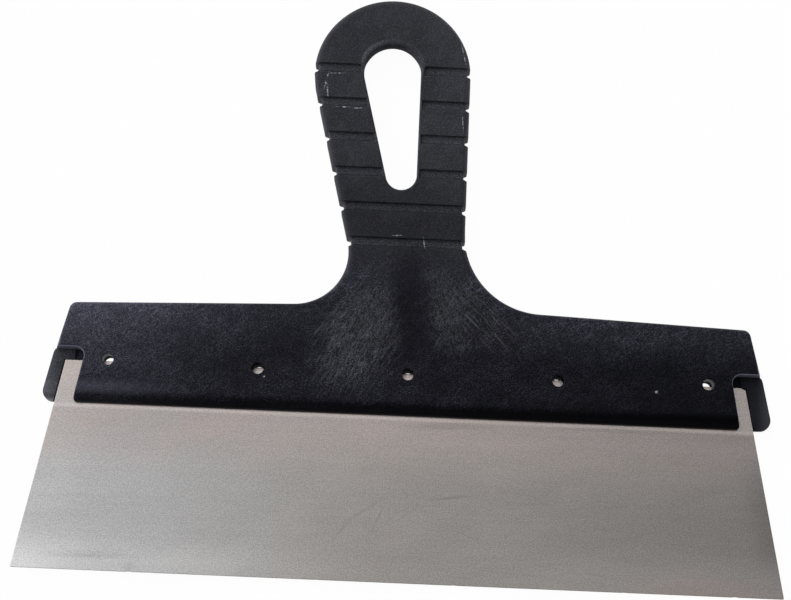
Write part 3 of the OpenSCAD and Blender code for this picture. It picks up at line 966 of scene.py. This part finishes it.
def edge_wear_and_painted_light(f, specks, direction, far):
    """Tone along the edges: wear on the grip's sides and the two ears, painted light on the rims and
    walls of the two notches, painted highlights on the cut ends and on the worn crest of the finger
    hole's rim, and painted shade on each ledge towards its pocket. Also returns where the ears are."""
    turned = f.ramp(direction[2], 0.97, 0.6)
    rounded = f.times(turned, f.ramp(direction[2], 0.0, 0.3))
    sideways = f.ramp(f.math("ABSOLUTE", direction[0]), 0.2, 0.45)
    grip_side = f.times(rounded, sideways, f.ramp(f.y, -20, 10), 0.02)
    # Painted light: the rims and walls of the two notches are lit up in the tone.
    notch_light = f.times(turned, f.plus(0.1, f.times(rounded, 0.1)), f.ramp(f.z, 4.2, 4.9))
    notch_light = f.times(notch_light, f.ramp(far, 119, 124), f.ramp(f.y, -27, -30), f.ramp(f.y, -38, -34))
    # Painted highlight along the rounded edges of the cut ends, strongest low on the right.
    cut_rim = f.times(rounded, sideways, f.ramp(far, 122, 125))
    cut_rim = f.times(cut_rim, f.ramp(f.y, -38, -42), f.ramp(f.y, -51, -49))
    cut_highlight = f.plus(0.05, f.times(f.ramp(f.x, -1, 1), f.ramp(f.y, -42, -46), 0.25))
    # Painted highlight on the worn crest of the finger hole's rim, strongest at its upper left.
    crest = f.times(f.ramp(direction[2], 0.7, 0.9), f.ramp(direction[2], 1.0, 0.99))
    over_hole = f.times(f.spot(*OVER_HOLE), f.ramp(f.y, 89.6, 91.5))
    hole_rim_highlight = f.times(f.ramp(f.x, -8, -22, 0.018, 0.075), f.plus(0.5, specks))
    # The ears' tone fades out over the ledge towards each pocket, a painted shade there.
    ear = f.times(f.ramp(f.z, 6.2, 5.3), f.ramp(f.z, 4.0, 4.8), f.ramp(far, 126, 136))
    outward = f.ramp(far, 137, 143)
    left_ear = f.plus(0.012, f.times(outward, 0.034), f.times(f.ramp(f.y, -50.4, -53), 0.12))
    right_ear = f.plus(0.008, f.times(outward, 0.024))
    is_left, is_right = f.ramp(f.x, 1, -1), f.ramp(f.x, -1, 1)
    ear_worn = f.plus(f.times(is_left, left_ear), f.times(is_right, right_ear))
    rims = f.plus(notch_light, f.times(cut_rim, cut_highlight), f.times(crest, over_hole, hole_rim_highlight))
    return f.plus(grip_side, rims, f.times(ear, ear_worn)), ear


def pin_hole_shade(f, direction, far):
    """Where the wall of a pin hole is painted dark as shade: below the blade, and all of it in the
    middle three."""
    upright = f.ramp(f.math("ABSOLUTE", direction[2]), 0.4, 0.2)
    row = f.times(f.ramp(f.y, -41, -40), f.ramp(f.y, -32, -33), f.ramp(far, 124, 122))
    middle = f.times(f.ramp(far, 90, 80), f.ramp(f.z, 10.6, 10.0))
    return f.times(upright, row, f.most(middle, f.ramp(f.z, 5.6, 4.8)))


# %% Finish of the handle
SHINE, SHINE_TINT = 0.09, (0.74, 0.77, 1.0, 1)
COOL, NEUTRAL, FLECK_GREY = (1, 1, 1.36, 1), (0.985, 1, 1.16, 1), (0.31, 0.317, 0.345, 1)
NECK_MIDDLE = (1, -9), (8, 20), 4, 0.6
FLECKS = [
    (-36.9, 82.5, 3.2, 0.3, 78),
    (-36.2, 78.0, 2.6, 0.3, 97),
    (-33.0, 85.6, 2.8, 0.12, 2),
    (-29.6, 71.4, 2.6, 0.2, 2),
    (-23.5, 71.2, 1.6, 0.16, 4),
    (18.4, 95.5, 4.2, 0.2, 104),
    (18.9, 67.5, 3.8, 0.18, 95),
    (-5.6, 18.9, 1.7, 0.2, 3),
    (5.3, 16.4, 1.9, 0.24, 100),
    (-55.4, -40.2, 0.4, 0.4, 0),
    (98.8, -39.9, 0.7, 0.45, 0),
]


def plastic_finish():
    """Black moulded plastic: wear and painted light and shade of the body, the grip and the neck, then
    of edges, painted shade in recesses, and a few pale flecks on top."""
    f = Finish("moulded_black_plastic")
    specks = f.noise((0.46, 0.42), 0, 1.0, 0.46, 0.76)
    grip, body = f.ramp(f.y, -4, 18), f.ramp(f.y, 18, -4)
    far = f.math("ABSOLUTE", f.plus(f.x, -BODY_SHIFT))
    direction = f.split(f.add("TexCoord", output="Normal"))
    lands, depth = grip_wear(f, specks)
    fan, neck = neck_wear_and_painted_sheen(f, specks)
    edges, ear = edge_wear_and_painted_light(f, specks, direction, far)
    # Painted shade on the walls of the pin holes.
    painted_shade_wall = pin_hole_shade(f, direction, far)
    # Painted shade on the lower flank of each groove, added with the pin holes' painted shade.
    flank = f.times(f.ramp(direction[1], 0.15, 0.4), f.ramp(depth, 0.02, 0.2), 0.4)
    tone = f.plus(f.times(body, body_wear_and_painted_light(f, specks)), f.times(grip, lands), fan)
    tone = f.lighten(tone, f.spot(*NECK_MIDDLE), -0.64)
    tone = f.lighten(f.plus(tone, edges), f.most(painted_shade_wall, flank), -0.85)

    color = f.tinted(f.blend(f.most(grip, neck, ear), COOL, NEUTRAL), tone)
    broken = f.noise((1.1, 0.7), 0, 2, 0.42, 0.56)
    fleck = f.times(f.marks(FLECKS, 0.6), broken, f.ramp(direction[2], 0.2, 0.6))
    color = f.blend(fleck, color, FLECK_GREY)
    rough = f.plus(0.4, f.times(grip, 0.1), f.times(specks, 0.06), f.times(painted_shade_wall, 0.5))
    bump = f.add("Bump", {"Strength": 0.4, "Distance": 0.01 * MM, "Height": specks})
    f.feed(f.shader, {"Base Color": color, "Roughness": rough, "Normal": bump})
    f.feed(f.shader, {"Specular IOR Level": SHINE, "Specular Tint": SHINE_TINT})
    return f.material


handle.data.materials.append(plastic_finish())
print("plastic:", len(handle.active_material.node_tree.nodes), "nodes and", len(FLECKS), "flecks")

# %% [markdown]
# ## Satin steel
#
# Satin steel is a metal whose colour is its reflection, so what makes it look brushed is a rough mirror
# with small changes of tone: a fine grain, long faint brushing, broad streaks and soft clouds.
# Anisotropic shading would also do, but its stretched highlights need a lamp to show, and the room here
# is soft. The distance to each flared border is a straight line in x and y, and lets the borders differ
# from the middle; the left border carries painted light. The strip next to the plastic is brown, and a
# painted light strip runs along the seam. A few scratches, stains and two painted shadows under the
# plastic are spots.

# %% Tone of the blade
SCRATCHES = [
    (-21.8, -97.7, 5.2, 0.5, 51),
    (-12.4, -89.5, 7.4, 0.5, 34),
    (-8.3, -93.2, 5.2, 0.4, 66),
    (19.7, -84.2, 8.2, 0.5, 8),
]
# The first two spots are painted shadows just under the plastic's edge; the last two are stains.
STAINS_AND_SHADOWS = [
    (18.0, -56.0, 14.0, 1.5, 3),
    (88.0, -54.6, 24.0, 1.1, 1),
    (-123.0, -112.2, 13.0, 1.2, 1),
    (-103.4, -115.9, 2.2, 1.2, 10),
]


def steel_tone(f, low, high, mottle, brushed, streaks):
    """Tone of the steel: mottled, paler along the working edge, with painted light along the left border
    and a painted light strip along the seam that is weaker on the bare ends, scratches, stains and two
    painted shadows under the plastic."""
    rise = f.times(f.plus(f.y, BLADE_H + Y_MIDDLE), -np.tan(np.radians(BLADE_FLARE)))
    in_left = f.plus(f.x, BLADE_W / 2, rise)
    in_right = f.plus(f.times(f.x, -1.0), BLADE_W / 2, rise)
    right_dark = f.times(f.ramp(in_right, 12, -1), f.ramp(f.y, -60, -85), f.ramp(f.y, -112, -98))
    bare = f.ramp(f.y, -54.5, -52.5)
    tone = f.lighten(f.plus(0.768, mottle), f.ramp(f.x, -10, 50), 0.05)
    # Painted light: paler along the left border, brightest at the lower left corner.
    tone = f.lighten(tone, f.times(f.ramp(in_left, 30, 0), f.plus(0.5, low)), 0.13)
    tone = f.lighten(tone, right_dark, -0.2)
    tone = f.lighten(tone, f.times(low, f.ramp(f.x, 20, -110)), 0.27)
    tone = f.lighten(tone, f.times(low, f.ramp(f.x, -30, 130)), 0.25)
    tone = f.lighten(tone, high, f.ramp(f.x, -130, 10, -0.08, 0.15))
    # Painted light: a pale strip along the seam that cancels the shade under the plastic.
    tone = f.lighten(tone, f.ramp(f.y, -55.2, -53.4), f.ramp(f.x, 40, 110, 0.42, 0.75))
    # Painted shade on the bare tabs, which takes back most of the strip and the border's light there.
    tone = f.lighten(tone, f.times(bare, f.ramp(f.x, -124, -127)), -0.245)
    tone = f.lighten(tone, f.times(bare, f.ramp(f.x, 124, 127)), -0.225)
    scratched = f.times(f.marks(SCRATCHES, 0.7), f.plus(0.4, f.times(streaks, 0.6)))
    # Stains, and two painted shadows under the plastic, darken the tone here.
    stained_and_shaded = f.times(f.marks(STAINS_AND_SHADOWS, 0.8), f.plus(0.3, brushed))
    return f.lighten(f.lighten(tone, scratched, -0.17), stained_and_shaded, -0.16)


# %% Finish of the blade
STEEL_LEFT, STEEL_RIGHT = (0.306, 0.304, 0.306, 1), (0.296, 0.279, 0.264, 1)
STEEL_BROWN = (0.311, 0.273, 0.261, 1)
BROWN_CORNER = (120, -116), (26, 5), 0, 0.6
ROUGH = 0.285


def steel_finish():
    """Satin steel: fine grain, faint brushing, streaks and clouds in the tone, and a colour that goes
    from neutral at the left to warm at the right and brown along the seam."""
    f = Finish("satin_steel")
    grain = f.noise((0.5, 0.46), 0, 1.0, 0.25, 0.75)
    brushed = f.noise((30, 0.8), 0, 3, 0.35, 0.65)
    streaks = f.noise((50, 4), 0, 3, 0.36, 0.66)
    clouds = f.noise((30, 14), 8, 3, 0.36, 0.66)
    low, high = f.ramp(f.y, -98, -117), f.ramp(f.y, -84, -58)
    mottle = f.plus(f.times(grain, 0.4), f.times(brushed, 0.018))
    mottle = f.plus(mottle, f.times(streaks, 0.03), f.times(clouds, 0.05))
    brown = f.most(f.times(high, f.plus(0.6, f.times(clouds, 0.6))), f.spot(*BROWN_CORNER))
    warm = f.blend(f.ramp(f.x, -110, 0), STEEL_LEFT, STEEL_RIGHT)
    tone = steel_tone(f, low, high, mottle, brushed, streaks)
    color = f.tinted(f.blend(brown, warm, STEEL_BROWN), tone)
    rough = f.plus(ROUGH, f.times(brushed, 0.02))
    f.feed(f.shader, {"Base Color": color, "Roughness": rough, "Metallic": 1.0})
    return f.material


blade.data.materials.append(steel_finish())
print("steel:", len(blade.active_material.node_tree.nodes), "nodes")

# %% [markdown]
# ## Table
#
# The knife lies on a white table. A white that is lit would need much more light than the knife should
# get, so the table glows for the eye and for mirrors, and stays a plain matt sheet for everything else.
# A small share of the matt sheet is left in what the camera sees, and keeps the shadow.

# %% White table
FLOOR_GAP, FLOOR_HALF, FLOOR_GLOW = 0.2 * MM, 3.0, 0.97
WHITE, PAPER = (1, 1, 1, 1), (0.8, 0.8, 0.8, 1)
floor = bpy.data.objects.new("floor", bpy.data.meshes.new("floor"))
floor_xy = np.array([[-1, -1], [1, -1], [1, 1], [-1, 1]]) * FLOOR_HALF
floor_xyz = np.column_stack([floor_xy, np.full(4, -FLOOR_GAP)])
floor.data.from_pydata(floor_xyz.tolist(), [], [[0, 1, 2, 3]])
bpy.context.scene.collection.objects.link(floor)
table = Finish("white_table")
seen = table.add("LightPath").node.outputs
direct = table.most(seen["Is Camera Ray"], seen["Is Glossy Ray"])
glow = table.add("Emission", {"Color": WHITE, "Strength": 1.0})
matt = table.add("BsdfDiffuse", {"Color": PAPER})
shown = table.add("MixShader", {0: table.times(direct, FLOOR_GLOW), 1: matt, 2: glow})
table.feed(table.tree.nodes["Material Output"], {"Surface": shown})
floor.data.materials.append(table.material)
print("table:", 2 * FLOOR_HALF, "m wide,", FLOOR_GAP / MM, "mm below the knife")

# %% [markdown]
# ## Light
#
# A photograph of steel is mostly a photograph of the room. The blade fades from pale at the left to
# dark at the right, and the plastic's rolled edge, which faces the viewer's side, is almost black. Lamps
# would need many sizes and places for that. A world whose strength depends on the direction gives it at
# once: a power that falls from left to right and fades towards the horizon, a dim front, a slightly
# brighter back, and more light near the horizon than overhead. The level is set so that a grey card on
# the knife renders as grey as it is.

# %% Room light
ROOM_LEVEL, SIDE_BASE, SIDE_FADE = 0.865, 2.5, 0.35
HORIZON, FRONT, BACK = 1.6, 0.3, 1.3
world = bpy.data.worlds.new("room")
bpy.context.scene.world = world
world.use_nodes = True
room = Network(world.node_tree)
x, y, z = room.split(room.add("TexCoord", output="Generated"))
height = room.ramp(z, 0.3, 0.9, HORIZON, 1.0)
aloft = room.ramp(z, 0.3, 0.8, SIDE_FADE, 1.0)
side = room.math("POWER", SIDE_BASE, room.times(aloft, room.ramp(x, -0.35, 0.35, 1.0, -1.0)))
front = room.ramp(y, -0.25, 0.05, FRONT, 1.0)
back = room.ramp(y, 0.1, 0.6, 1.0, BACK)
level = room.times(height, side, front, back, ROOM_LEVEL)
room.feed(world.node_tree.nodes["Background"], {"Color": WHITE, "Strength": level})
print("room:", round(SIDE_BASE**2, 2), "times brighter overhead at the left than at the right")

# %% [markdown]
# ## Camera
#
# The camera stands where the photograph was taken: almost overhead, a little towards the working edge,
# and turned by a few degrees. Its axes are worked out from those two angles, and the lens follows from
# the focal length in pixels, because the sensor's width stands for the image's width.

# %% Put the camera where the photograph was taken
IMAGE_W, FOCAL_PX, SENSOR = 791.0, 2100.0, 36.0
TILT, ROLL = np.radians(12.5), np.arctan(0.0426)
CAMERA_AT = np.array([-5.15, -187.15, 821.66]) * MM
look = np.array([0, np.sin(TILT), -np.cos(TILT)])
across, along = np.array([1, 0, 0]), np.array([0, np.cos(TILT), np.sin(TILT)])
image_right = np.cos(ROLL) * across + np.sin(ROLL) * along
image_up = np.cos(ROLL) * along - np.sin(ROLL) * across
pose = np.eye(4)
pose[:3] = np.column_stack([image_right, image_up, -look, CAMERA_AT])
camera = bpy.data.objects.new("camera", bpy.data.cameras.new("camera"))
camera.data.sensor_width = SENSOR
camera.data.lens = SENSOR * FOCAL_PX / IMAGE_W
camera.data.clip_start = 0.05
camera.matrix_world = Matrix(pose.tolist())
bpy.context.scene.collection.objects.link(camera)
bpy.context.scene.camera = camera
bpy.context.scene.view_settings.view_transform = "Standard"
print("camera:", round(camera.data.lens, 1), "mm lens,", CAMERA_AT[2].round(3), "m above the table")

# %% [markdown]
# ## End
#
# The measured solids stay in the scene, hidden, under the new pieces that round and dress them.
